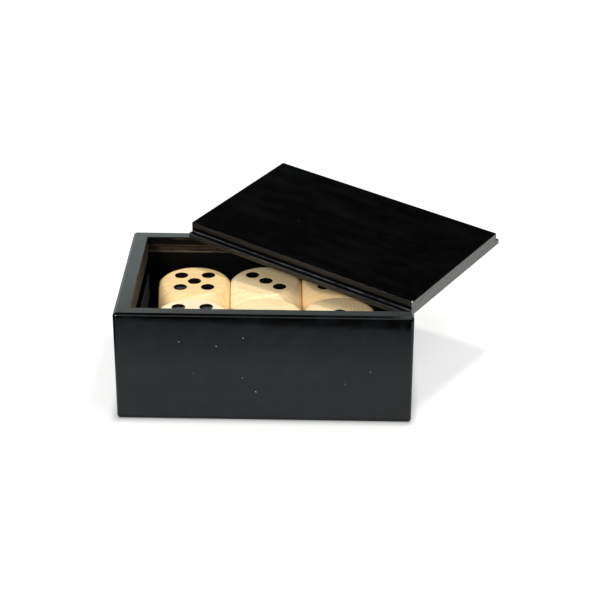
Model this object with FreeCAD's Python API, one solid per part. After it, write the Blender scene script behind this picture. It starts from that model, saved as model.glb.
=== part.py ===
import FreeCAD, Part

import math
import os

# A black lacquered wooden box with a sliding lid, made round six wooden dice.
# Millimetres. X runs along the box, Y from front to back, Z up.
# The origin is the centre of the underside.
# The lid has been slid out over the low right end wall. It lies askew, leaning
# on the back wall, with one corner down on the low end wall.

# Dice
die_size = 20.0
ball_ratio = 0.695              # radius of the ball that trims the cube, over the die's size
pip_ratio = 0.185               # pip diameter over the die's size
pip_depth_ratio = 0.02
pip_spacing_ratio = 0.19        # from the middle of a face to a corner pip, along each edge
dice_columns = 3
dice_rows = 2
dice_gap = 0.1                  # air between neighbouring dice
dice_turn = 2.4                 # the block of dice stands slightly turned, in degrees
dice_shift_x = -0.4             # and slightly off the middle of the box
dice_shift_y = 0.4

# Walls and floor
play_along = 10.2               # free length inside, beside the row of dice
play_across = 4.9               # free width inside, beside the row of dice
dice_headroom = 3.2             # from the dice to the closed lid
long_wall = 4.0
end_wall = 4.3
floor_thickness = 4.0
floor_rebate = 1.5              # how far the floor is let into each wall
outer_round = 1.0               # rounding of every outer edge of the box
inner_ease = 0.3                # softened inner edge of the rim
low_wall_ease = 0.5             # softened top edges of the low end wall

# Lid, and its fit in the grooves
lid_thickness = 4.4
tongue_thickness = 1.45
tongue_width = 1.8
lid_ease = 0.3                  # softened upper edges
tongue_ease = 0.2               # softened lower edges
lid_side_gap = 0.2              # between the lid's plate and each lip
lid_end_gap = 0.3               # between the closed lid and its stop, and again at the open end
lid_proud = 0.1                 # the closed lid stands this much above the rim
groove_headroom = 0.35          # above the tongue
groove_side_gap = 0.3           # beyond the tongue's edge

# Where the lid lies
lid_turn = -33.7                # seen from above, in degrees
rest_corner_inset_x = 1.3       # the corner that is down, from the box's right face
rest_corner_inset_y = 7.8       # and from the box's front face
lid_rest_gap = 0.05             # air under that corner

# How far a cutting block runs past the wood
cut_past = 1.0

# Sizes that follow
die_ball_radius = ball_ratio * die_size
pip_diameter = pip_ratio * die_size
pip_depth = pip_depth_ratio * die_size
pip_spacing = pip_spacing_ratio * die_size
die_pitch = die_size + dice_gap
inside_length = dice_columns * die_pitch - dice_gap + play_along
inside_width = dice_rows * die_pitch - dice_gap + play_across
box_length = inside_length + 2 * end_wall
box_width = inside_width + 2 * long_wall
dice_top = floor_thickness + die_size
groove_floor = dice_top + dice_headroom
box_height = groove_floor + lid_thickness - lid_proud
groove_height = tongue_thickness + groove_headroom
groove_depth = tongue_width + groove_side_gap - lid_side_gap
lid_length = box_length - end_wall - 2 * lid_end_gap
plate_width = inside_width - 2 * lid_side_gap
half_length = box_length / 2
half_width = box_width / 2
half_inside_length = inside_length / 2
half_inside_width = inside_width / 2

X_AXIS = FreeCAD.Vector(1, 0, 0)
Y_AXIS = FreeCAD.Vector(0, 1, 0)
Z_AXIS = FreeCAD.Vector(0, 0, 1)
ORIGIN = FreeCAD.Vector(0, 0, 0)


def block(low, high):
    """A plain block between two opposite corners."""
    size = [b - a for a, b in zip(low, high)]
    return Part.makeBox(size[0], size[1], size[2], FreeCAD.Vector(*low))


def edges_where(shape, test):
    """The straight edges of a shape whose two ends both pass the test."""
    found = []
    for edge in shape.Edges:
        ends = [vertex.Point for vertex in edge.Vertexes]
        if len(ends) == 2 and all(test(point) for point in ends):
            found.append(edge)
    return found


def near(value, target):
    """True where two measures are the same."""
    return abs(value - target) < 1e-6


def floor_panel():
    """The bottom board, as large as the inside and its rebates."""
    reach_x = half_inside_length + floor_rebate
    reach_y = half_inside_width + floor_rebate
    return block((-reach_x, -reach_y, 0), (reach_x, reach_y, floor_thickness))


def carcase():
    """The four walls in one, rounded outside, open at the top and low at the right."""
    outside = block((-half_length, -half_width, 0), (half_length, half_width, box_height))
    outside = outside.makeFillet(outer_round, outside.Edges)
    inside = block((-half_inside_length, -half_inside_width, -cut_past),
                   (half_inside_length, half_inside_width, box_height + cut_past))
    doorway = block((half_inside_length - cut_past, -half_inside_width, groove_floor),
                    (half_length + cut_past, half_inside_width, box_height + cut_past))
    shell = outside.cut(inside).cut(doorway)

    def on_rim(point):
        inner_x = near(point.x, -half_inside_length) and abs(point.y) < half_inside_width + 1e-6
        inner_y = near(abs(point.y), half_inside_width)
        return near(point.z, box_height) and (inner_x or inner_y)

    shell = shell.makeFillet(inner_ease, edges_where(shell, on_rim))
    return shell.cut(floor_panel())


def groove(side):
    """The slot for one tongue, from the stop to the open end. side is -1 front, 1 back."""
    inner = side * half_inside_width
    outer = side * (half_inside_width + groove_depth)
    start = inner - side * cut_past
    return block((-half_inside_length, min(start, outer), groove_floor),
                 (half_length + cut_past, max(start, outer), groove_floor + groove_height))


def long_side(shell, side):
    """The front or back wall: full length, full height, grooved."""
    inner = side * half_inside_width
    outer = side * (half_width + cut_past)
    slab = block((-half_length - cut_past, min(inner, outer), -cut_past),
                 (half_length + cut_past, max(inner, outer), box_height + cut_past))
    return shell.common(slab).cut(groove(side))


def end_side(shell, side):
    """The left or right end wall, which stands between the long walls."""
    inner = side * half_inside_length
    outer = side * (half_length + cut_past)
    slab = block((min(inner, outer), -half_inside_width, -cut_past),
                 (max(inner, outer), half_inside_width, box_height + cut_past))
    return shell.common(slab)


def low_end_side(shell):
    """The right end wall, with its two long top edges softened."""
    wall = end_side(shell, 1)

    def on_top(point):
        return near(point.z, groove_floor)

    long_edges = [edge for edge in edges_where(wall, on_top) if edge.Length > inside_width / 2]
    return wall.makeFillet(low_wall_ease, long_edges)


def lid_board():
    """The lid lying level, its underside on Z = 0 and centred on the origin.

    Its section is a plate with a thin tongue low down on each long side. The leading
    end has no tongue.
    """
    half_plate = plate_width / 2
    half_tongue = half_plate + tongue_width
    section = [
        (-half_tongue, 0), (half_tongue, 0), (half_tongue, tongue_thickness),
        (half_plate, tongue_thickness), (half_plate, lid_thickness),
        (-half_plate, lid_thickness), (-half_plate, tongue_thickness), (-half_tongue, tongue_thickness)]
    points = [FreeCAD.Vector(-lid_length / 2, y, z) for y, z in section]
    board = Part.Face(Part.makePolygon(points + points[:1])).extrude(X_AXIS * lid_length)

    def on_top(point):
        return near(point.z, lid_thickness)

    def on_bottom(point):
        return near(point.z, 0)

    board = board.makeFillet(lid_ease, edges_where(board, on_top))
    return board.makeFillet(tongue_ease, edges_where(board, on_bottom))


def resting_lid():
    """The lid as it lies: turned, leaning on the back wall's rim, one corner down.

    It is laid flat at the height of the rim with that corner in place, and then tipped
    about the rim's inner edge until the corner meets the low wall.
    """
    lid = lid_board()
    corner = FreeCAD.Vector(lid_length / 2, -(plate_width / 2 + tongue_width), 0)
    turn = FreeCAD.Rotation(Z_AXIS, lid_turn)
    target = FreeCAD.Vector(half_length - rest_corner_inset_x, -half_width + rest_corner_inset_y, box_height)
    lid.Placement = FreeCAD.Placement(target - turn.multVec(corner), turn)
    drop = box_height - groove_floor - lid_rest_gap
    reach = half_inside_width - target.y
    tilt = math.degrees(math.asin(drop / reach))
    lid.rotate(FreeCAD.Vector(0, half_inside_width, box_height), X_AXIS, tilt)
    print("lid tilt", round(tilt, 3), "degrees")
    return lid


# Pips on a face, in steps of pip_spacing from its middle
PIPS = {
    "one": [(0, 0)],
    "two": [(-1, -1), (1, 1)],
    "three": [(-1, 1), (0, 0), (1, -1)],
    "four": [(-1, -1), (1, -1), (-1, 1), (1, 1)],
    "five": [(-1, -1), (1, -1), (0, 0), (-1, 1), (1, 1)],
    "six": [(-1, -1), (-1, 0), (-1, 1), (1, -1), (1, 0), (1, 1)]}

# The turn that carries the top face of an unrolled die to each number's face
FACES = {
    "one": FreeCAD.Rotation(X_AXIS, 0),
    "six": FreeCAD.Rotation(X_AXIS, 180),
    "two": FreeCAD.Rotation(X_AXIS, 90),
    "five": FreeCAD.Rotation(X_AXIS, -90),
    "three": FreeCAD.Rotation(Y_AXIS, 90),
    "four": FreeCAD.Rotation(Y_AXIS, -90)}

# The dice from left to right: name, number on top, number in front
FRONT_ROW = [
    ("die_front_left", "four", "six"),
    ("die_front_middle", "one", "five"),
    ("die_front_right", "one", "four")]
BACK_ROW = [
    ("die_back_left", "five", "one"),
    ("die_back_middle", "three", "two"),
    ("die_back_right", "two", "six")]


def pip_cutters(number):
    """The pips of one face as shallow cones, on the side of an unrolled die."""
    cutters = []
    overlap = pip_depth / 2
    radius = pip_diameter / 2
    flare = radius * (pip_depth + overlap) / pip_depth
    turn = FACES[number]
    for step_x, step_y in PIPS[number]:
        tip = FreeCAD.Vector(step_x * pip_spacing, step_y * pip_spacing, die_size / 2 - pip_depth)
        cone = Part.makeCone(0, flare, pip_depth + overlap, tip, Z_AXIS)
        cone.rotate(ORIGIN, turn.Axis, math.degrees(turn.Angle))
        cutters.append(cone)
    return cutters


def die():
    """A die about the origin, one on top, two in front, three at the right."""
    half = die_size / 2
    body = block((-half, -half, -half), (half, half, half))
    body = body.common(Part.makeSphere(die_ball_radius))
    cutters = []
    for number in FACES:
        cutters += pip_cutters(number)
    return body.cut(cutters)


def roll(top, front):
    """The turn that brings one number of an unrolled die to the top and one to the front."""
    up = FACES[top].multVec(Z_AXIS)
    back = FACES[front].multVec(Z_AXIS) * -1
    return FreeCAD.Rotation(back.cross(up), back, up, "ZYX").inverted()


def placed_die(column, row, top, front):
    """One die, rolled to show its numbers and stood in its place in the block."""
    shape = die()
    turn = roll(top, front)
    shape.rotate(ORIGIN, turn.Axis, math.degrees(turn.Angle))
    across = (column - (dice_columns - 1) / 2) * die_pitch
    back = (row - (dice_rows - 1) / 2) * die_pitch
    shape.translate(FreeCAD.Vector(across, back, floor_thickness + die_size / 2))
    shape.rotate(ORIGIN, Z_AXIS, dice_turn)
    shape.translate(FreeCAD.Vector(dice_shift_x, dice_shift_y, 0))
    return shape


def nodes():
    """Every piece under its name."""
    shell = carcase()
    pieces = {
        "floor_panel": floor_panel(),
        "front_wall": long_side(shell, -1),
        "back_wall": long_side(shell, 1),
        "left_end_wall": end_side(shell, -1),
        "right_end_wall": low_end_side(shell),
        "lid": resting_lid()}
    for row, dice in enumerate((FRONT_ROW, BACK_ROW)):
        for column, (name, top, front) in enumerate(dice):
            pieces[name] = placed_die(column, row, top, front)
    return pieces


os.makedirs("parts", exist_ok=True)
for name, shape in nodes().items():
    solid = shape.Solids[0]
    box = solid.BoundBox
    print(name, "solids", len(shape.Solids), "valid", solid.isValid(), "volume", round(solid.Volume, 1),
          "x", round(box.XMin, 2), round(box.XMax, 2), "y", round(box.YMin, 2), round(box.YMax, 2),
          "z", round(box.ZMin, 2), round(box.ZMax, 2))
    solid.exportStep("parts/" + name + ".step")
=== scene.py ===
"""A black lacquered dice box with its lid slid off, dressed and lit for its picture."""
import logging
import math
from dataclasses import dataclass, field
from enum import Enum
from typing import Union

import bpy
import numpy as np
from mathutils import Matrix, Vector


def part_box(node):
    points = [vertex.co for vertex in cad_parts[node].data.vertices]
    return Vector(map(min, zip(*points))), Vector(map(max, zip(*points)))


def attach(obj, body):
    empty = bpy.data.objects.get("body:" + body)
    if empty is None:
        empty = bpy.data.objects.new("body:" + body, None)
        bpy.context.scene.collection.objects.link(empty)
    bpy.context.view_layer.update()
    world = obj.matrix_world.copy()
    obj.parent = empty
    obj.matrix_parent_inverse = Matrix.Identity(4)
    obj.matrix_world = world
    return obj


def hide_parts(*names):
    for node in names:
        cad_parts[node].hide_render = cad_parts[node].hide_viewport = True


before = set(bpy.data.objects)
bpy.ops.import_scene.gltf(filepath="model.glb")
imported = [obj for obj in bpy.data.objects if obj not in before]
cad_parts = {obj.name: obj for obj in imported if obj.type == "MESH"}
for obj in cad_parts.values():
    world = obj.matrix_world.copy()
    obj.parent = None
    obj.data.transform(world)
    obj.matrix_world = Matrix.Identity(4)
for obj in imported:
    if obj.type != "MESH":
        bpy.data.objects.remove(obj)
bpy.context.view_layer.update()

MM = 0.001
LOG = logging.getLogger("dice_box")

Socket = bpy.types.NodeSocket
Value = Union[Socket, float, tuple]
Colour = tuple[float, float, float, float]
Triple = tuple[float, float, float]
WHITE: Colour = (1.0, 1.0, 1.0, 1.0)


class Effect(Enum):
    """The shader effects that several materials share."""

    EDGE = "edge_mask"
    ZONE = "zone_mask"
    GRAIN = "wood_grain"
    SPECKS = "dust_specks"
    RIPPLE = "lacquer_ripple"


class Wiring:
    """Adds nodes to one node tree and joins them up."""

    def __init__(self, tree: bpy.types.NodeTree) -> None:
        """Keep the tree that the nodes go into."""
        self.tree = tree

    def add(self, kind: str, **settings: object) -> bpy.types.Node:
        """Add one node.

        Args:
            kind: The node's type name.
            settings: Properties set on the node itself.

        Returns:
            The new node.
        """
        node = self.tree.nodes.new(kind)
        for name, value in settings.items():
            setattr(node, name, value)
        return node

    def put(self, socket: Socket, value: Value) -> None:
        """Link a socket to another, or give it a plain value.

        Args:
            socket: The input that receives it.
            value: An output socket, a number or a tuple.
        """
        if isinstance(value, bpy.types.NodeSocket):
            self.tree.links.new(value, socket)
        else:
            socket.default_value = value

    def maths(self, operation: str, *values: Value) -> Socket:
        """Work out one number.

        Args:
            operation: The Math node's operation.
            values: Its inputs in order.

        Returns:
            The result's socket.
        """
        node = self.add("ShaderNodeMath", operation=operation)
        for socket, value in zip(node.inputs, values):
            self.put(socket, value)
        return node.outputs[0]

    def vectors(self, operation: str, *values: Value) -> Socket:
        """Work out one vector.

        Args:
            operation: The Vector Math node's operation.
            values: Its inputs in order.

        Returns:
            The result's vector socket.
        """
        node = self.add("ShaderNodeVectorMath", operation=operation)
        for socket, value in zip(node.inputs, values):
            self.put(socket, value)
        return node.outputs["Vector"]

    def parts(self, vector: Value) -> tuple[Socket, Socket, Socket]:
        """Split a vector into its three numbers.

        Args:
            vector: The vector to split.

        Returns:
            The sockets of x, y and z.
        """
        node = self.add("ShaderNodeSeparateXYZ")
        self.put(node.inputs[0], vector)
        return node.outputs[0], node.outputs[1], node.outputs[2]

    def ramp(self, value: Value, low: Value, high: Value, to_low: Value = 0.0,
             to_high: Value = 1.0) -> Socket:
        """Carry a value smoothly from one span onto another, held at its ends.

        Args:
            value: The number to carry over.
            low: Where the ramp starts.
            high: Where it ends, which may be less than its start.
            to_low: The result at the start.
            to_high: The result at the end.

        Returns:
            The result's socket.
        """
        node = self.add("ShaderNodeMapRange", interpolation_type="SMOOTHSTEP")
        for name, item in zip(("Value", "From Min", "From Max", "To Min", "To Max"),
                              (value, low, high, to_low, to_high)):
            self.put(node.inputs[name], item)
        return node.outputs["Result"]

    def noise(self, vector: Value, scale: float, detail: float = 3.0, roughness: float = 0.5) -> Socket:
        """Cloudy noise.

        Args:
            vector: Where it is read.
            scale: How many clouds there are in one unit.
            detail: How many finer layers it has.
            roughness: How strong those are.

        Returns:
            A socket from 0 to 1.
        """
        node = self.add("ShaderNodeTexNoise")
        for name, item in zip(("Vector", "Scale", "Detail", "Roughness"), (vector, scale, detail, roughness)):
            self.put(node.inputs[name], item)
        return node.outputs[0]

    def blend(self, factor: Value, first: Value, second: Value) -> Socket:
        """Mix two colours.

        Args:
            factor: 0 gives the first, 1 the second.
            first: A colour.
            second: A colour.

        Returns:
            The mixed colour's socket.
        """
        node = self.add("ShaderNodeMix", data_type="RGBA")
        self.put(node.inputs[0], factor)
        self.put(node.inputs[6], first)
        self.put(node.inputs[7], second)
        return node.outputs[2]


class EffectShelf:
    """Builds each shared effect once and places it in materials."""

    def __init__(self) -> None:
        """Start with no effect built."""
        self.trees: dict[Effect, bpy.types.NodeTree] = {}

    def place(self, wiring: Wiring, effect: Effect, **inputs: Value) -> bpy.types.Node:
        """Put an effect into a material.

        Args:
            wiring: The material's nodes.
            effect: Which effect.
            inputs: Its inputs by name.

        Returns:
            The group node, whose outputs are the effect.
        """
        if effect not in self.trees:
            builders = {
                Effect.EDGE: self._edge, Effect.ZONE: self._zone, Effect.GRAIN: self._grain,
                Effect.SPECKS: self._specks, Effect.RIPPLE: self._ripple}
            self.trees[effect] = builders[effect]()
        node = wiring.add("ShaderNodeGroup", node_tree=self.trees[effect])
        for name, value in inputs.items():
            wiring.put(node.inputs[name], value)
        return node

    @staticmethod
    def _start(effect: Effect, inputs: dict[str, str], outputs: tuple[str, ...]) -> tuple:
        """Open a new node group.

        Args:
            effect: Names the group.
            inputs: Socket kind by socket name.
            outputs: Names of its float outputs.

        Returns:
            Its wiring, its input node and its output node.
        """
        tree = bpy.data.node_groups.new(effect.value, "ShaderNodeTree")
        for name, kind in inputs.items():
            tree.interface.new_socket(name=name, in_out="INPUT", socket_type="NodeSocket" + kind)
        for name in outputs:
            tree.interface.new_socket(name=name, in_out="OUTPUT", socket_type="NodeSocketFloat")
        wiring = Wiring(tree)
        return wiring, wiring.add("NodeGroupInput"), wiring.add("NodeGroupOutput")

    def _edge(self) -> bpy.types.NodeTree:
        """Worn arrises of a block: strong where the second nearest of its faces is near.

        Returns:
            A group with Vector in millimetres from the block's middle, Half size and Width.
        """
        wiring, given, result = self._start(
            Effect.EDGE, {"Vector": "Vector", "Half": "Vector", "Width": "Float"}, ("Mask",))
        size = wiring.vectors("ABSOLUTE", given.outputs["Vector"])
        x, y, z = wiring.parts(wiring.vectors("SUBTRACT", given.outputs["Half"], size))
        nearer = wiring.maths("MINIMUM", x, y)
        further = wiring.maths("MAXIMUM", x, y)
        second = wiring.maths("MAXIMUM", nearer, wiring.maths("MINIMUM", further, z))
        rub = wiring.noise(given.outputs["Vector"], 0.35, 5.0, 0.65)
        width = wiring.maths("MULTIPLY", given.outputs["Width"], wiring.ramp(rub, 0.35, 0.75, 0.25, 1.3))
        wiring.put(result.inputs["Mask"], wiring.ramp(second, width, 0.0))
        return wiring.tree

    def _zone(self) -> bpy.types.NodeTree:
        """A band between two corners, with an uneven border like a brushed line of paint.

        Returns:
            A group with Vector, Low, High and the border's Wobble, all in millimetres.
        """
        wiring, given, result = self._start(
            Effect.ZONE,
            {"Vector": "Vector", "Low": "Vector", "High": "Vector", "Wobble": "Float"}, ("Mask",))
        vector = given.outputs["Vector"]
        above = wiring.vectors("SUBTRACT", vector, given.outputs["Low"])
        below = wiring.vectors("SUBTRACT", given.outputs["High"], vector)
        x, y, z = wiring.parts(wiring.vectors("MINIMUM", above, below))
        inside = wiring.maths("MINIMUM", wiring.maths("MINIMUM", x, y), z)
        shake = wiring.maths("SUBTRACT", wiring.noise(vector, 0.5, 4.0, 0.6), 0.5)
        moved = wiring.maths("MULTIPLY_ADD", shake, given.outputs["Wobble"], inside)
        wiring.put(result.inputs["Mask"], wiring.ramp(moved, -0.08, 0.16))
        return wiring.tree

    def _grain(self) -> bpy.types.NodeTree:
        """Growth rings round a pith that runs along X, and fine fibres along it.

        Returns:
            A group with Vector in millimetres, the Pith's place, and Ring width.
        """
        wiring, given, result = self._start(
            Effect.GRAIN,
            {"Vector": "Vector", "Pith": "Vector", "Ring": "Float"}, ("Rings", "Fibre", "Cloud"))
        vector = given.outputs["Vector"]
        from_pith = wiring.vectors("SUBTRACT", vector, given.outputs["Pith"])
        across = wiring.vectors("MULTIPLY", from_pith, (0.06, 1.0, 1.0))
        radius = wiring.add("ShaderNodeVectorMath", operation="LENGTH")
        wiring.put(radius.inputs[0], across)
        drift = wiring.noise(wiring.vectors("MULTIPLY", vector, (0.3, 1.0, 1.0)), 0.16, 3.0, 0.5)
        turns = wiring.maths("DIVIDE", radius.outputs["Value"], given.outputs["Ring"])
        phase = wiring.maths("MULTIPLY_ADD", drift, 5.0, turns)
        wave = wiring.maths("SINE", wiring.maths("MULTIPLY", phase, 2.0 * math.pi))
        wiring.put(result.inputs["Rings"], wiring.ramp(wave, -0.6, 1.0))
        stretched = wiring.vectors("MULTIPLY", vector, (0.09, 1.0, 1.0))
        wiring.put(result.inputs["Fibre"], wiring.noise(stretched, 2.6, 4.0, 0.6))
        wiring.put(result.inputs["Cloud"], wiring.noise(vector, 0.11, 2.0, 0.5))
        return wiring.tree

    def _specks(self) -> bpy.types.NodeTree:
        """Sparse grains of dust, each a small dot in a fifth of the cells, and few of them large.

        Returns:
            A group with Vector, cell Spacing and dot Size in millimetres.
        """
        wiring, given, result = self._start(
            Effect.SPECKS, {"Vector": "Vector", "Spacing": "Float", "Size": "Float"}, ("Mask",))
        cells = wiring.add("ShaderNodeTexVoronoi", feature="F1")
        wiring.put(cells.inputs["Vector"], given.outputs["Vector"])
        wiring.put(cells.inputs["Scale"], wiring.maths("DIVIDE", 1.0, given.outputs["Spacing"]))
        chance, amount, _ = wiring.parts(cells.outputs["Color"])
        limit = wiring.maths("DIVIDE", given.outputs["Size"], given.outputs["Spacing"])
        share = wiring.ramp(wiring.maths("POWER", amount, 2.0), 0.0, 1.0, 0.28, 1.0)
        limit = wiring.maths("MULTIPLY", limit, share)
        dot = wiring.ramp(cells.outputs["Distance"], limit, wiring.maths("MULTIPLY", limit, 0.6))
        wiring.put(result.inputs["Mask"], wiring.maths("MULTIPLY", dot, wiring.ramp(chance, 0.80, 0.82)))
        return wiring.tree

    def _ripple(self) -> bpy.types.NodeTree:
        """The slow waves and fine orange peel of brushed lacquer.

        Returns:
            A group with Vector in millimetres.
        """
        wiring, given, result = self._start(Effect.RIPPLE, {"Vector": "Vector"}, ("Height", "Smear"))
        vector = given.outputs["Vector"]
        slow = wiring.noise(vector, 0.13, 2.0, 0.5)
        fine = wiring.noise(vector, 1.7, 2.0, 0.5)
        wiring.put(result.inputs["Height"], wiring.maths("MULTIPLY_ADD", fine, 0.06, slow))
        stretched = wiring.vectors("MULTIPLY", vector, (0.25, 1.0, 1.0))
        wiring.put(result.inputs["Smear"], wiring.noise(stretched, 0.22))
        return wiring.tree


@dataclass(frozen=True)
class Placement:
    """Where a piece's own axes lie, in millimetres."""

    matrix: Matrix = field(default_factory=lambda: Matrix.Identity(4))

    def vector(self, wiring: Wiring) -> Socket:
        """Object coordinates carried back to the piece's own axes.

        Args:
            wiring: The material's nodes.

        Returns:
            The vector's socket, in millimetres.
        """
        back = self.matrix.inverted()
        place = wiring.add("ShaderNodeTexCoord").outputs["Object"]
        node = wiring.add("ShaderNodeMapping", vector_type="POINT")
        node.inputs["Location"].default_value = back.translation
        node.inputs["Rotation"].default_value = back.to_euler("XYZ")
        node.inputs["Scale"].default_value = (1 / MM, 1 / MM, 1 / MM)
        wiring.put(node.inputs["Vector"], place)
        return node.outputs["Vector"]


class Layer(Enum):
    """What a zone of a board shows instead of gloss black: darkest colour, palest colour, roughness."""

    RAW = ((0.010, 0.008, 0.006, 1.0), (0.050, 0.037, 0.027, 1.0), 0.70)
    SAWN = ((0.0030, 0.0022, 0.0014, 1.0), (0.0180, 0.0130, 0.0082, 1.0), 0.70)
    # Raw wood paler than RAW, for the walls' grooves: the extra paleness is painted light inside the shaded
    # groove.
    GROOVED = ((0.020, 0.013, 0.007, 1.0), (0.080, 0.053, 0.030, 1.0), 0.75)
    STAINED = ((0.0012, 0.0010, 0.0008, 1.0), (0.007, 0.005, 0.0035, 1.0), 0.60)
    # Pale bluish lines and streaks that stand in for light: painted highlights along the lid's arrises, and a
    # painted reflection on the left wall inside.
    LINE = ((0.026, 0.029, 0.034, 1.0), (0.125, 0.130, 0.142, 1.0), 0.45)
    # Pale wood: real wear on the low end wall's top, and a painted highlight along the arris under each long
    # wall's groove.
    CHAFED = ((0.060, 0.048, 0.034, 1.0), (0.160, 0.130, 0.098, 1.0), 0.55)
    DULL = ((0.0010, 0.0010, 0.0011, 1.0), (0.0016, 0.0016, 0.0018, 1.0), 0.60)
    THIN = ((0.165, 0.166, 0.148, 1.0), (0.250, 0.248, 0.219, 1.0), 0.40)
    # A pale grey spot, used at one top corner of the lid.
    CHIPPED = ((0.40, 0.39, 0.37, 1.0), (0.66, 0.65, 0.62, 1.0), 0.5)


@dataclass(frozen=True)
class Zone:
    """A zone of another layer, between two corners in a piece's own millimetres."""

    layer: Layer
    low: Triple
    high: Triple
    wobble: float = 0.5
    strength: float = 1.0


@dataclass(frozen=True)
class Block:
    """The block whose edges are rubbed: its middle and half its size, in millimetres."""

    middle: Triple
    half: Triple


@dataclass(frozen=True)
class LacquerFinish:
    """Black gloss lacquer, rubbed at its arrises, with other layers in some zones."""

    black: Colour = (0.0008, 0.0008, 0.0009, 1.0)
    haze: Colour = (0.0026, 0.0028, 0.0029, 1.0)
    film: Colour = (0.0034, 0.0046, 0.0053, 1.0)
    rubbed: Colour = (0.016, 0.016, 0.016, 1.0)
    dust: Colour = (0.80, 0.79, 0.74, 1.0)
    gloss: float = 0.08
    refraction: float = 1.55
    edge_width: float = 0.5
    speck_spacing: float = 3.4
    speck_size: float = 0.32
    speck_shift: Triple = (1.7, 0.9, 2.2)
    matt_share: float = 0.8
    pith: Triple = (0.0, 31.0, -47.0)
    ring_width: float = 1.5
    bump_strength: float = 0.6
    bump_height: float = 0.04
    bare_grain: float = 1.2

    def make(self, shelf: EffectShelf, name: str, placement: Placement, block: Block,
             zones: tuple[Zone, ...] = ()) -> bpy.types.Material:
        """Build the material for one board.

        Args:
            shelf: The shared effects.
            name: The material's name.
            placement: The board's own axes.
            block: The block whose arrises are rubbed.
            zones: Where another layer shows, later ones over earlier ones.

        Returns:
            The material.
        """
        material = bpy.data.materials.new(name)
        material.use_nodes = True
        wiring = Wiring(material.node_tree)
        shader = material.node_tree.nodes["Principled BSDF"]
        vector = placement.vector(wiring)
        centred = wiring.vectors("SUBTRACT", vector, block.middle)
        edge = shelf.place(wiring, Effect.EDGE, Vector=centred, Half=block.half, Width=self.edge_width)
        ripple = shelf.place(wiring, Effect.RIPPLE, Vector=vector)
        strewn = wiring.vectors("ADD", vector, self.speck_shift)
        specks = shelf.place(
            wiring, Effect.SPECKS, Vector=strewn, Spacing=self.speck_spacing, Size=self.speck_size)
        grain = shelf.place(wiring, Effect.GRAIN, Vector=vector, Pith=self.pith, Ring=self.ring_width)
        streaks = wiring.maths("MULTIPLY_ADD", grain.outputs["Rings"], 0.22, grain.outputs["Fibre"])
        fibre = wiring.ramp(streaks, 0.36, 0.82)
        worn = wiring.maths("MULTIPLY", edge.outputs["Mask"], 0.5)
        polish = wiring.blend(wiring.ramp(ripple.outputs["Smear"], 0.42, 0.72), self.black, self.haze)
        blotches = wiring.noise(vector, 0.24, 4.0, 0.62)
        polish = wiring.blend(wiring.ramp(blotches, 0.44, 0.70), polish, self.film)
        colour = wiring.blend(specks.outputs["Mask"], wiring.blend(worn, polish, self.rubbed), self.dust)
        smear = wiring.ramp(ripple.outputs["Smear"], 0.35, 0.7, self.gloss * 0.9, self.gloss * 1.15)
        dusty = wiring.maths("MULTIPLY_ADD", specks.outputs["Mask"], 0.4, smear)
        rough = wiring.maths("MULTIPLY_ADD", worn, 0.2, dusty)
        bare: Value = 0.0
        matt: Value = 0.0
        for zone in zones:
            dark, pale, roughness = zone.layer.value
            mask = shelf.place(
                wiring, Effect.ZONE, Vector=vector, Low=zone.low, High=zone.high, Wobble=zone.wobble)
            share = wiring.maths("MULTIPLY", mask.outputs["Mask"], zone.strength)
            colour = wiring.blend(share, colour, wiring.blend(fibre, dark, pale))
            rough = wiring.maths("MULTIPLY_ADD", share, wiring.maths("SUBTRACT", roughness, rough), rough)
            if zone.layer in (Layer.RAW, Layer.SAWN, Layer.GROOVED, Layer.THIN):
                bare = wiring.maths("MAXIMUM", bare, share)
            stain = 1.0 if zone.layer in (Layer.STAINED, Layer.DULL) else 0.0
            matt = wiring.maths("MULTIPLY_ADD", share, wiring.maths("SUBTRACT", stain, matt), matt)
        wiring.put(shader.inputs["Base Color"], colour)
        wiring.put(shader.inputs["Roughness"], rough)
        wiring.put(shader.inputs["Metallic"], wiring.maths("MULTIPLY", matt, self.matt_share))
        shader.inputs["IOR"].default_value = self.refraction
        bump = wiring.add("ShaderNodeBump")
        bump.inputs["Strength"].default_value = self.bump_strength
        bump.inputs["Distance"].default_value = self.bump_height * MM
        height = wiring.maths("MULTIPLY_ADD", wiring.maths("MULTIPLY", bare, grain.outputs["Fibre"]),
                              self.bare_grain, ripple.outputs["Height"])
        wiring.put(bump.inputs["Height"], height)
        wiring.put(shader.inputs["Normal"], bump.outputs["Normal"])
        return material


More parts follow.
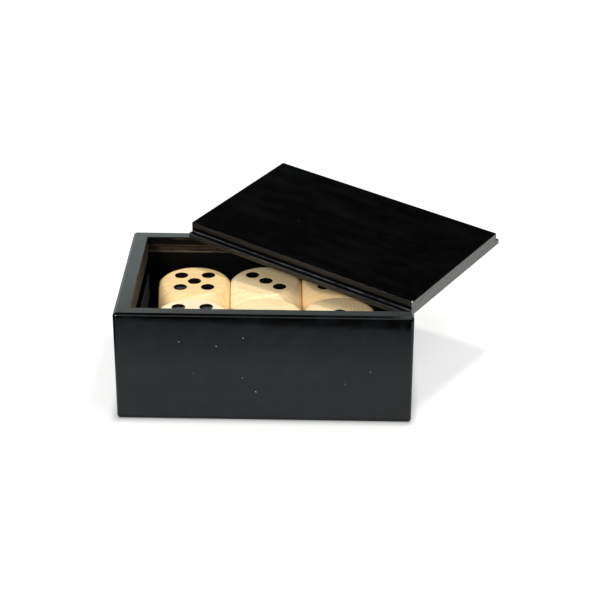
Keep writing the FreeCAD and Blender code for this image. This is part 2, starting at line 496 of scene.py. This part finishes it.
@dataclass(frozen=True)
class MapleFinish:
    """Waxed pale maple with fine brown rings, and pips painted black."""

    pale: Colour
    ring: Colour
    fleck: Colour = (0.66, 0.40, 0.18, 1.0)
    rubbed: Colour = (0.95, 0.75, 0.46, 1.0)
    blush: Colour = (0.98, 0.71, 0.44, 1.0)
    pip: Colour = (0.0025, 0.0020, 0.0024, 1.0)
    wax: float = 0.30
    pip_gloss: float = 0.14
    ring_width: float = 1.7
    edge_width: float = 2.4
    ring_share: tuple[float, float] = (0.15, 0.6)
    blush_share: float = 0.45
    fleck_share: float = 0.45
    rubbed_share: float = 0.35
    bump_strength: float = 0.35
    bump_height: float = 0.03

    def make(self, shelf: EffectShelf, name: str, placement: Placement, pith: Triple,
             half: float) -> bpy.types.Material:
        """Build the material for one die.

        Args:
            shelf: The shared effects.
            name: The material's name.
            placement: The die's own axes.
            pith: Where the tree's heart lay, which sets how the rings cross the die.
            half: Half the die's size.

        Returns:
            The material, which reads the die's own pip attribute.
        """
        material = bpy.data.materials.new(name)
        material.use_nodes = True
        wiring = Wiring(material.node_tree)
        shader = material.node_tree.nodes["Principled BSDF"]
        vector = placement.vector(wiring)
        shifted = wiring.vectors("ADD", vector, tuple(0.37 * value for value in pith))
        grain = shelf.place(wiring, Effect.GRAIN, Vector=shifted, Pith=pith, Ring=self.ring_width)
        edge = shelf.place(
            wiring, Effect.EDGE, Vector=vector, Half=(half, half, half), Width=self.edge_width)
        inside_pip = wiring.add("ShaderNodeAttribute", attribute_name=Die.PIP_ATTRIBUTE).outputs["Fac"]
        paint = wiring.ramp(inside_pip, -0.05, 0.07)
        strength = wiring.ramp(grain.outputs["Cloud"], 0.3, 0.7, *self.ring_share)
        rings = wiring.maths("MULTIPLY", grain.outputs["Rings"], strength)
        wood = wiring.blend(rings, self.pale, self.ring)
        patches = wiring.noise(shifted, 0.16, 2.0, 0.5)
        wood = wiring.blend(wiring.ramp(patches, 0.5, 0.72, 0.0, self.blush_share), wood, self.blush)
        fibre = wiring.ramp(grain.outputs["Fibre"], 0.56, 0.78, 0.0, self.fleck_share)
        wood = wiring.blend(fibre, wood, self.fleck)
        worn = wiring.maths("MULTIPLY", edge.outputs["Mask"], self.rubbed_share)
        wood = wiring.blend(worn, wood, self.rubbed)
        wiring.put(shader.inputs["Base Color"], wiring.blend(paint, wood, self.pip))
        rough = wiring.ramp(grain.outputs["Fibre"], 0.3, 0.7, self.wax, self.wax * 1.3)
        rough = wiring.maths("MULTIPLY_ADD", paint, wiring.maths("SUBTRACT", self.pip_gloss, rough), rough)
        wiring.put(shader.inputs["Roughness"], rough)
        bump = wiring.add("ShaderNodeBump")
        bump.inputs["Strength"].default_value = self.bump_strength
        bump.inputs["Distance"].default_value = self.bump_height * MM
        wiring.put(bump.inputs["Height"], grain.outputs["Fibre"])
        wiring.put(shader.inputs["Normal"], bump.outputs["Normal"])
        return material


def quad_grid(rows: int, columns: int) -> np.ndarray:
    """The quads of a grid of points numbered row by row.

    Args:
        rows: How many rows of points.
        columns: How many points in a row.

    Returns:
        Four point numbers for each quad, turning left seen from the side that faces out.
    """
    index = np.arange(rows * columns).reshape(rows, columns)
    corners = [index[:-1, :-1], index[:-1, 1:], index[1:, 1:], index[1:, :-1]]
    return np.stack(corners, axis=-1).reshape(-1, 4)


def new_piece(name: str, points: np.ndarray, quads: np.ndarray) -> bpy.types.Object:
    """A smooth object of quads.

    Args:
        name: The object's name.
        points: One row of x, y, z for each point, in metres.
        quads: Four point numbers for each quad.

    Returns:
        The object, linked into the scene.
    """
    mesh = bpy.data.meshes.new(name)
    mesh.from_pydata(points.tolist(), [], quads.tolist())
    mesh.polygons.foreach_set("use_smooth", np.ones(len(quads), dtype=bool))
    mesh.update()
    piece = bpy.data.objects.new(name, mesh)
    bpy.context.scene.collection.objects.link(piece)
    return piece


def dress(piece: bpy.types.Object, material: bpy.types.Material) -> None:
    """Give a piece one material in place of all it has.

    Args:
        piece: The object.
        material: Its finish.
    """
    piece.data.materials.clear()
    piece.data.materials.append(material)
    LOG.info("%s wears %s", piece.name, material.name)


@dataclass
class Carcase:
    """The box's five boards, lacquered, with bare wood round the lid's grooves."""

    length: float = 79.0
    width: float = 53.0
    height: float = 31.5
    end_wall: float = 4.3
    long_wall: float = 4.0
    groove_low: float = 27.2
    groove_high: float = 29.0
    groove_depth: float = 1.9
    floor: float = 4.0
    finish: LacquerFinish = field(default_factory=LacquerFinish)

    def long_wall_zones(self, side: int) -> tuple[Zone, ...]:
        """A long wall inside: dull paint below, the raw groove made paler as painted light, a painted
        highlight along the arris under it, a stained lip.

        Args:
            side: -1 for the front wall, 1 for the back wall.

        Returns:
            The zones.
        """
        inner = self.width / 2 - self.long_wall
        reach = self.length / 2 - 0.6

        def band(layer: Layer, depth: float, low: float, high: float, **more: float) -> Zone:
            """A zone along the wall, from its inner face to a depth and between two heights."""
            near, far = sorted((side * (inner - 0.6), side * (inner + depth)))
            return Zone(layer, (-reach, near, low), (reach, far, high), **more)

        return (
            band(Layer.DULL, 0.6, -1.0, self.groove_low),
            band(Layer.STAINED, 0.6, self.groove_high - 0.2, self.height - 0.5, wobble=0.9),
            # The groove: raw wood made paler, painted light where the groove lies in shade.
            band(Layer.GROOVED, self.groove_depth + 0.6, self.groove_low - 0.1, self.groove_high + 0.2,
                 wobble=0.25),
            # Painted highlight: a pale line along the arris under the groove.
            band(Layer.CHAFED, 0.6, self.groove_low - 0.32, self.groove_low + 0.1,
                 wobble=0.3, strength=0.8))

    def zones(self) -> dict[str, tuple[Zone, ...]]:
        """The zones of each board.

        Returns:
            The zones by node name.
        """
        inner = self.width / 2
        end = self.length / 2 - self.end_wall
        left = (-end - 0.6, -end + 0.6)
        right = (end - 0.6, end + 0.6)
        return {
            "back_wall": self.long_wall_zones(1),
            "front_wall": self.long_wall_zones(-1),
            "left_end_wall": (
                Zone(Layer.RAW, (left[0], -inner, 25.3), (left[1], inner, self.height - 0.35)),
                # Painted reflection: a pale streak on the left wall inside, where the glossy wall mirrors the
                # dice.
                Zone(Layer.LINE, (left[0], -inner, 12.3), (left[1], inner, 20.6), 0.8, 0.9)),
            "right_end_wall": (
                Zone(Layer.DULL, (right[0], -inner, -1.0), (right[1], inner, self.groove_low - 0.6)),
                # Pale wear on the low wall's top, where the lid slides.
                Zone(Layer.CHAFED, (end - 1, -inner, self.groove_low - 0.25),
                     (self.length, inner, self.height), 0.9, 0.35)),
            "floor_panel": (
                Zone(Layer.DULL, (-self.length, -inner, 0.5), (self.length, inner, self.floor + 1)),)}

    def dress(self, shelf: EffectShelf) -> None:
        """Finish every board.

        Args:
            shelf: The shared effects.
        """
        half = (self.length / 2, self.width / 2, self.height / 2)
        block = Block((0.0, 0.0, self.height / 2), half)
        for node, zones in self.zones().items():
            material = self.finish.make(shelf, "lacquer_" + node, Placement(), block, zones)
            dress(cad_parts[node], material)


@dataclass
class Lid:
    """The lid, askew on the box, black above and bare along its running sides."""

    length: float = 74.1
    plate_width: float = 44.6
    tongue_width: float = 1.8
    tongue_thickness: float = 1.45
    thickness: float = 4.4
    turn: float = -33.7
    low_corner: Triple = (38.2, -18.7, 31.5)
    hinge_line: Triple = (0.0, 22.5, 31.5)
    drop: float = 4.25
    finish: LacquerFinish = field(default_factory=lambda: LacquerFinish(
        haze=(0.0022, 0.0024, 0.0027, 1.0), film=(0.0020, 0.0023, 0.0026, 1.0), dust=(0.14, 0.14, 0.13, 1.0),
        speck_size=0.15, gloss=0.09, edge_width=0.35))

    def placement(self) -> Placement:
        """The lid's own axes: laid flat with one corner in place, then tipped about the rim.

        Returns:
            The placement.
        """
        corner = Vector((self.length / 2, -(self.plate_width / 2 + self.tongue_width), 0.0))
        target = Vector(self.low_corner)
        pivot = Vector(self.hinge_line)
        turned = Matrix.Rotation(math.radians(self.turn), 4, "Z")
        flat = Matrix.Translation(target - turned @ corner) @ turned
        tilt = math.asin(self.drop / (pivot.y - target.y))
        tip = Matrix.Translation(pivot) @ Matrix.Rotation(tilt, 4, "X") @ Matrix.Translation(-pivot)
        return Placement(tip @ flat)

    def zones(self) -> tuple[Zone, ...]:
        """The lid's running sides and ends.

        Each plate side is sawn wood above and dull below, with a painted highlight line where it meets
            the tongue. The tongue is dull above and sawn wood at its side, with a fainter painted highlight
            line along its arris. The ends are thinly painted end grain, and one top corner has a pale grey
            spot.

        Returns:
            The zones.
        """
        reach = self.length
        plate = self.plate_width / 2
        tongue = plate + self.tongue_width
        step = self.tongue_thickness
        end = self.length / 2
        found = []
        for side in (-1, 1):
            for layer, inner, outer, low, high, wobble, strength in (
                    (Layer.DULL, plate - 0.3, tongue + 0.5, 0.3, 3.2, 0.2, 1.0),
                    (Layer.SAWN, plate - 0.6, plate + 0.6, 2.7, self.thickness - 0.12, 0.3, 1.0),
                    # Painted highlight: a pale bluish line where the plate side meets the tongue.
                    (Layer.LINE, plate - 0.3, plate + 0.3, step - 0.1, step + 0.28, 0.25, 1.0),
                    (Layer.SAWN, tongue - 0.5, tongue + 0.6, -0.6, step - 0.25, 0.25, 1.0),
                    # Painted highlight: a fainter pale line along the tongue's arris.
                    (Layer.LINE, tongue - 0.28, tongue + 0.3, step - 0.25, step + 0.2, 0.25, 0.5)):
                near, far = sorted((side * inner, side * outer))
                found.append(Zone(layer, (-reach, near, low), (reach, far, high), wobble, strength))
            near, far = sorted((side * (end - 0.25), side * (end + 0.6)))
            found.append(Zone(
                Layer.THIN, (near, -reach, -1.0), (far, reach, self.thickness - 0.3), 0.3, 0.85))
        corner = (end, -plate, self.thickness)
        # A pale grey spot at the lid's near top corner.
        found.append(Zone(Layer.CHIPPED, tuple(value - 0.4 for value in corner),
                          tuple(value + 0.4 for value in corner), 0.1))
        return tuple(found)

    def dress(self, shelf: EffectShelf) -> None:
        """Finish the lid.

        Args:
            shelf: The shared effects.
        """
        half = (self.length / 2, self.plate_width / 2, self.thickness / 2)
        block = Block((0.0, 0.0, self.thickness / 2), half)
        material = self.finish.make(shelf, "lacquer_lid", self.placement(), block, self.zones())
        dress(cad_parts["lid"], material)


class Face(Enum):
    """A die's faces: the axis and angle that carry the top of an unrolled die to each."""

    ONE = ("X", 0)
    TWO = ("X", 90)
    THREE = ("Y", 90)
    FOUR = ("Y", -90)
    FIVE = ("X", -90)
    SIX = ("X", 180)

    def turn(self) -> Matrix:
        """The rotation to this face."""
        axis, angle = self.value
        return Matrix.Rotation(math.radians(angle), 3, axis)


@dataclass
class Die:
    """One wooden die: a cube trimmed by a ball, with a hollow for each pip."""

    PIP_ATTRIBUTE = "pip_paint"
    PIPS = {
        Face.ONE: ((0, 0),),
        Face.TWO: ((-1, -1), (1, 1)),
        Face.THREE: ((-1, 1), (0, 0), (1, -1)),
        Face.FOUR: ((-1, -1), (1, -1), (-1, 1), (1, 1)),
        Face.FIVE: ((-1, -1), (1, -1), (0, 0), (-1, 1), (1, 1)),
        Face.SIX: ((-1, -1.16), (-1, 0), (-1, 1.16), (1, -1.16), (1, 0), (1, 1.16))}

    node: str
    top: Face
    front: Face
    pith: Triple
    finish: MapleFinish
    half: float = 10.0
    ball: float = 13.5
    soften: float = 0.5
    pip_radius: float = 1.9
    pip_depth: float = 0.34
    pip_spacing: float = 3.8
    block_turn: float = 2.4
    cells: int = 84

    def face(self, face: Face) -> tuple[np.ndarray, np.ndarray]:
        """One sixth of the die.

        A ray goes out through each point of a square grid on the cube's face. The surface
        is where it meets the cube or the ball, whichever is nearer, with the two distances
        rounded into each other. Inside a pip the surface sinks by a flat-bottomed curve: the
        pip's depth times one less the fourth power of the distance from its middle over its radius.

        Args:
            face: Which face.

        Returns:
            The points in the die's own millimetres, and how far each lies inside a pip's edge.
        """
        steps = np.linspace(-1.0, 1.0, self.cells + 1)
        across, up = np.meshgrid(steps, steps)
        ray = np.stack([across, up, np.ones_like(across)], axis=-1)
        stretch = np.linalg.norm(ray, axis=-1)
        cube = self.half * stretch
        share = np.clip(0.5 + 0.5 * (self.ball - cube) / self.soften, 0.0, 1.0)
        reach = self.ball + (cube - self.ball) * share - self.soften * share * (1.0 - share)
        points = ray * (reach / stretch)[..., None]
        centres = self.pip_spacing * np.array(self.PIPS[face], dtype=float)
        away = np.linalg.norm(points[..., None, :2] - centres, axis=-1).min(axis=-1)
        inside = self.pip_radius - away
        bowl = np.clip(1.0 - (away / self.pip_radius) ** 4, 0.0, None)
        points[..., 2] -= self.pip_depth * bowl
        turned = points.reshape(-1, 3) @ np.array(face.turn()).T
        return turned, np.clip(inside.ravel(), -1.0, None)

    def placement(self) -> Placement:
        """Where the die stands: rolled to its numbers, turned with the block, at its node's middle.

        Returns:
            The placement.
        """
        up = self.top.turn() @ Vector((0, 0, 1))
        back = -(self.front.turn() @ Vector((0, 0, 1)))
        roll = Matrix((back.cross(up), back, up))
        low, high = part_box(self.node)
        middle = (low + high) / 2 / MM
        turn = Matrix.Rotation(math.radians(self.block_turn), 3, "Z") @ roll
        return Placement(Matrix.Translation(middle) @ turn.to_4x4())

    def build(self, shelf: EffectShelf) -> bpy.types.Object:
        """Make the die, finish it and set it on its body.

        Args:
            shelf: The shared effects.

        Returns:
            The piece.
        """
        faces = [self.face(face) for face in Face]
        points = np.concatenate([part[0] for part in faces])
        inside = np.concatenate([part[1] for part in faces])
        quads = quad_grid(self.cells + 1, self.cells + 1)
        count = (self.cells + 1) ** 2
        quads = np.concatenate([quads + count * number for number in range(len(faces))])
        _, first, merged = np.unique(np.round(points, 4), axis=0, return_index=True, return_inverse=True)
        placement = self.placement()
        matrix = np.array(placement.matrix)
        placed = (points[first] @ matrix[:3, :3].T + matrix[:3, 3]) * MM
        piece = new_piece("maple_" + self.node, placed, merged.reshape(-1)[quads])
        attribute = piece.data.attributes.new(self.PIP_ATTRIBUTE, "FLOAT", "POINT")
        attribute.data.foreach_set("value", inside[first].astype(np.float32))
        dress(piece, self.finish.make(shelf, "maple_" + self.node, placement, self.pith, self.half))
        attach(piece, self.node)
        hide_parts(self.node)
        return piece


@dataclass
class DiceBlock:
    """The six dice as they lie in the box."""

    honey = MapleFinish(pale=(0.96, 0.70, 0.34, 1.0), ring=(0.84, 0.53, 0.23, 1.0))
    straw = MapleFinish(pale=(0.97, 0.77, 0.44, 1.0), ring=(0.89, 0.60, 0.29, 1.0))
    cream = MapleFinish(
        pale=(0.97, 0.82, 0.53, 1.0), ring=(0.92, 0.68, 0.37, 1.0), fleck=(0.78, 0.52, 0.27, 1.0))
    dice: tuple[Die, ...] = (
        Die("die_front_left", Face.FOUR, Face.SIX, (3.0, 60.0, 22.0), finish=cream),
        Die("die_front_middle", Face.ONE, Face.FIVE, (-9.0, 40.0, -38.0), finish=straw),
        Die("die_front_right", Face.ONE, Face.FOUR, (14.0, -52.0, 19.0), finish=straw),
        Die("die_back_left", Face.FIVE, Face.ONE, (-4.0, 35.0, 52.0), finish=honey),
        Die("die_back_middle", Face.THREE, Face.TWO, (8.0, 70.0, -12.0), finish=straw),
        Die("die_back_right", Face.TWO, Face.SIX, (-15.0, -33.0, 47.0), finish=honey))

    def build(self, shelf: EffectShelf) -> None:
        """Make every die.

        Args:
            shelf: The shared effects.
        """
        for die in self.dice:
            piece = die.build(shelf)
            LOG.info("%s has %d faces", piece.name, len(piece.data.polygons))


@dataclass(frozen=True)
class SoftLamp:
    """A square lamp that faces a point, in metres and watts."""

    name: str
    place: Triple
    aim: Triple
    size: float
    power: float

    def build(self) -> bpy.types.Object:
        """Hang the lamp.

        Returns:
            The lamp's object.
        """
        light = bpy.data.lights.new(self.name, "AREA")
        light.shape = "SQUARE"
        light.size = self.size
        light.energy = self.power
        lamp = bpy.data.objects.new(self.name, light)
        lamp.location = self.place
        lamp.rotation_euler = (Vector(self.aim) - Vector(self.place)).to_track_quat("-Z", "Y").to_euler()
        bpy.context.scene.collection.objects.link(lamp)
        return lamp


@dataclass
class Studio:
    """A white floor, a low white backdrop, soft lamps and the camera."""

    floor_reach: float = 6.0
    floor_steps: int = 9
    floor_drop: float = 0.00002
    floor_colour: Colour = (0.80, 0.80, 0.80, 1.0)
    floor_shade: Colour = (0.455, 0.46, 0.445, 1.0)
    floor_lift: float = 0.655
    mirror_lift: float = 0.54
    floor_white: tuple[float, float] = (0.12, 0.80)
    mirror_colour: Colour = (0.02, 0.06, 0.08, 1.0)
    # The box's half footprint in metres, round which the floor carries a painted contact shadow out to its
    # reach.
    footprint: tuple[float, float] = (0.0390, 0.0260)
    painted_contact_shadow_reach: float = 0.0036
    mirror_fade: tuple[float, float] = (-0.050, -0.086)
    mirror_fade_share: float = 0.5
    mirror_end: tuple[float, float] = (-0.0808, -0.0836)
    mirror_slant: float = -0.06
    mirror_left: tuple[float, float] = (-0.060, -0.085)
    backdrop_width: float = 1.3
    backdrop_start: float = 0.55
    backdrop_bend: float = 0.22
    backdrop_top: float = 0.53
    backdrop_fade: tuple[float, float] = (0.36, 0.51)
    backdrop_slant: float = 0.2
    backdrop_colour: Colour = (0.86, 0.965, 0.955, 1.0)
    dark: Colour = (0.010, 0.010, 0.011, 1.0)
    ambient: float = 0.34
    lamps: tuple[SoftLamp, ...] = (
        SoftLamp("key_lamp", (-0.44, -0.77, 0.58), (0.0, 0.0, 0.02), 0.22, 6.3),
        SoftLamp("top_lamp", (0.0778, 0.0824, 0.40), (0.02, 0.0, 0.02), 0.036, 0.66),
        SoftLamp("right_lamp", (0.33, -0.40, 1.00), (0.0, 0.0, 0.02), 0.38, 2.2),
        SoftLamp("line_lamp", (0.0, -0.75, 0.75), (0.0, 0.0, 0.02), 0.45, 0.6))
    camera_place: Triple = (0.01885, -0.43019, 0.23628)
    camera_yaw: float = -1.31
    camera_pitch: float = 26.34
    camera_roll: float = 0.22
    focal_pixels: float = 1738.5
    frame_pixels: float = 600.0
    sensor: float = 36.0

    def floor_material(self) -> bpy.types.Material:
        """White paper that keeps shadows, with a painted contact shadow round the box's footprint, and goes
        dark in mirror images far in front.

        Returns:
            The material.
        """
        material = bpy.data.materials.new("floor_paper")
        material.use_nodes = True
        wiring = Wiring(material.node_tree)
        material.node_tree.nodes.remove(material.node_tree.nodes["Principled BSDF"])
        path = wiring.add("ShaderNodeLightPath")
        place = wiring.add("ShaderNodeTexCoord").outputs["Object"]
        x, y, _ = wiring.parts(place)
        past = wiring.vectors("SUBTRACT", wiring.vectors("ABSOLUTE", place), (*self.footprint, 1.0))
        beyond = wiring.vectors("MAXIMUM", past, (0.0, 0.0, 0.0))
        distance = wiring.add("ShaderNodeVectorMath", operation="LENGTH")
        wiring.put(distance.inputs[0], beyond)
        # Painted contact shadow: the paper's glow fades out within a few millimetres of the box's footprint.
        clear_of_painted_contact_shadow = wiring.ramp(
            distance.outputs["Value"], -0.5 * self.painted_contact_shadow_reach, self.painted_contact_shadow_reach, 0.0, 1.0)
        seen = wiring.blend(path.outputs["Is Camera Ray"], self.floor_colour, self.floor_shade)
        paper = wiring.add("ShaderNodeBsdfDiffuse")
        shown = wiring.blend(path.outputs["Is Glossy Ray"], seen, self.mirror_colour)
        wiring.put(paper.inputs["Color"], shown)
        white_rays = wiring.maths("MAXIMUM", path.outputs["Is Camera Ray"], path.outputs["Is Glossy Ray"])
        white_rays = wiring.maths("MAXIMUM", white_rays, path.outputs["Is Transmission Ray"])
        whiter = wiring.ramp(distance.outputs["Value"], *self.floor_white, 0.0, 1.0 - self.floor_lift)
        far = wiring.maths("MULTIPLY", path.outputs["Is Camera Ray"], whiter)
        level = wiring.maths("MULTIPLY_ADD", path.outputs["Is Glossy Ray"],
                             self.mirror_lift - self.floor_lift, self.floor_lift)
        glow = wiring.maths("MULTIPLY", white_rays, wiring.maths("ADD", far, level))
        lift = wiring.add("ShaderNodeEmission")
        # The glow, cut away near the box by the painted contact shadow.
        wiring.put(lift.inputs["Strength"], wiring.maths("MULTIPLY", glow, clear_of_painted_contact_shadow))
        lit = wiring.add("ShaderNodeAddShader")
        wiring.put(lit.inputs[0], paper.outputs[0])
        wiring.put(lit.inputs[1], lift.outputs[0])
        dark = wiring.add("ShaderNodeBsdfDiffuse")
        dark.inputs["Color"].default_value = self.dark
        slanted = wiring.maths("MULTIPLY_ADD", x, self.mirror_slant, y)
        away = wiring.maths("MAXIMUM", wiring.ramp(y, *self.mirror_fade, 0.0, self.mirror_fade_share),
                            wiring.ramp(slanted, *self.mirror_end))
        away = wiring.maths("MAXIMUM", away, wiring.ramp(x, *self.mirror_left))
        mixed = wiring.add("ShaderNodeMixShader")
        wiring.put(mixed.inputs[0], wiring.maths("MULTIPLY", path.outputs["Is Glossy Ray"], away))
        wiring.put(mixed.inputs[1], lit.outputs[0])
        wiring.put(mixed.inputs[2], dark.outputs[0])
        wiring.put(material.node_tree.nodes["Material Output"].inputs["Surface"], mixed.outputs[0])
        return material

    def backdrop_material(self) -> bpy.types.Material:
        """White paper: full white to the camera, tinted and fading with height in mirror images.

        Returns:
            The material.
        """
        material = bpy.data.materials.new("backdrop_paper")
        material.use_nodes = True
        wiring = Wiring(material.node_tree)
        material.node_tree.nodes.remove(material.node_tree.nodes["Principled BSDF"])
        path = wiring.add("ShaderNodeLightPath")
        paper = wiring.add("ShaderNodeBsdfDiffuse")
        paper.inputs["Color"].default_value = self.floor_colour
        white = wiring.add("ShaderNodeEmission")
        tint = wiring.blend(path.outputs["Is Camera Ray"], self.backdrop_colour, WHITE)
        wiring.put(white.inputs["Color"], tint)
        x, _, z = wiring.parts(wiring.add("ShaderNodeTexCoord").outputs["Object"])
        height = wiring.maths("MULTIPLY_ADD", x, self.backdrop_slant, z)
        fade = wiring.ramp(height, *self.backdrop_fade, 1.0, 0.0)
        wiring.put(white.inputs["Strength"], wiring.maths("MAXIMUM", fade, path.outputs["Is Camera Ray"]))
        seen = wiring.maths("MAXIMUM", path.outputs["Is Camera Ray"], path.outputs["Is Glossy Ray"])
        seen = wiring.maths("MAXIMUM", seen, path.outputs["Is Transmission Ray"])
        mixed = wiring.add("ShaderNodeMixShader")
        wiring.put(mixed.inputs[0], seen)
        wiring.put(mixed.inputs[1], paper.outputs[0])
        wiring.put(mixed.inputs[2], white.outputs[0])
        wiring.put(material.node_tree.nodes["Material Output"].inputs["Surface"], mixed.outputs[0])
        return material

    def build_floor(self) -> None:
        """Lay the floor, a flat grid just under the box."""
        steps = np.linspace(-self.floor_reach, self.floor_reach, self.floor_steps)
        across, back = np.meshgrid(steps, steps)
        points = np.stack([across, back, np.full_like(across, -self.floor_drop)], axis=-1).reshape(-1, 3)
        floor = new_piece("studio_floor", points, quad_grid(self.floor_steps, self.floor_steps))
        dress(floor, self.floor_material())

    def build_backdrop(self) -> None:
        """Stand the backdrop: a quarter circle up from the floor, then straight up."""
        angles = np.linspace(0.0, math.pi / 2, 13)
        back = self.backdrop_start + self.backdrop_bend * np.sin(angles)
        up = self.backdrop_bend * (1.0 - np.cos(angles))
        back = np.append(back, back[-1])
        up = np.append(up, self.backdrop_top)
        across = np.linspace(-self.backdrop_width, self.backdrop_width, 3)
        points = np.empty((len(back), len(across), 3))
        points[..., 0] = across[None, :]
        points[..., 1] = back[:, None]
        points[..., 2] = up[:, None]
        backdrop = new_piece("studio_backdrop", points.reshape(-1, 3), quad_grid(len(back), len(across)))
        dress(backdrop, self.backdrop_material())

    def build_world(self) -> None:
        """White to the camera, a dim room in mirror images, and a soft fill for the shadows."""
        world = bpy.data.worlds.new("studio_world")
        world.use_nodes = True
        wiring = Wiring(world.node_tree)
        path = wiring.add("ShaderNodeLightPath")
        soft = (self.ambient, self.ambient, self.ambient, 1.0)
        room = world.node_tree.nodes["Background"]
        unseen = wiring.blend(path.outputs["Is Diffuse Ray"], self.dark, soft)
        seen = wiring.blend(path.outputs["Is Camera Ray"], unseen, WHITE)
        wiring.put(room.inputs["Color"], seen)
        bpy.context.scene.world = world

    def build_camera(self) -> None:
        """Stand the camera where the photograph was taken from."""
        yaw, pitch, roll = (
            math.radians(angle) for angle in (self.camera_yaw, self.camera_pitch, self.camera_roll))
        ahead = Vector((
            math.sin(yaw) * math.cos(pitch), math.cos(yaw) * math.cos(pitch), -math.sin(pitch)))
        level = Vector((math.cos(yaw), -math.sin(yaw), 0.0))
        upright = level.cross(ahead)
        right = math.cos(roll) * level + math.sin(roll) * upright
        up = math.cos(roll) * upright - math.sin(roll) * level
        lens = bpy.data.cameras.new("studio_camera")
        lens.sensor_width = self.sensor
        lens.lens = self.focal_pixels / self.frame_pixels * self.sensor
        lens.clip_start = 0.01
        camera = bpy.data.objects.new("studio_camera", lens)
        turn = Matrix((right, up, -ahead)).transposed()
        camera.matrix_world = Matrix.Translation(Vector(self.camera_place)) @ turn.to_4x4()
        bpy.context.scene.collection.objects.link(camera)
        bpy.context.scene.camera = camera

    def build(self) -> None:
        """Set up floor, backdrop, world, lamps and camera."""
        self.build_floor()
        self.build_backdrop()
        self.build_world()
        scene = bpy.context.scene
        for lamp in self.lamps:
            lamp.build()
        self.build_camera()
        scene.view_settings.view_transform = "Standard"


def main() -> None:
    """Dress the box, the lid and the dice, and set up the studio."""
    logging.basicConfig(level=logging.INFO, format="%(message)s")
    shelf = EffectShelf()
    Carcase().dress(shelf)
    Lid().dress(shelf)
    DiceBlock().build(shelf)
    Studio().build()


if __name__ == "__main__":
    main()
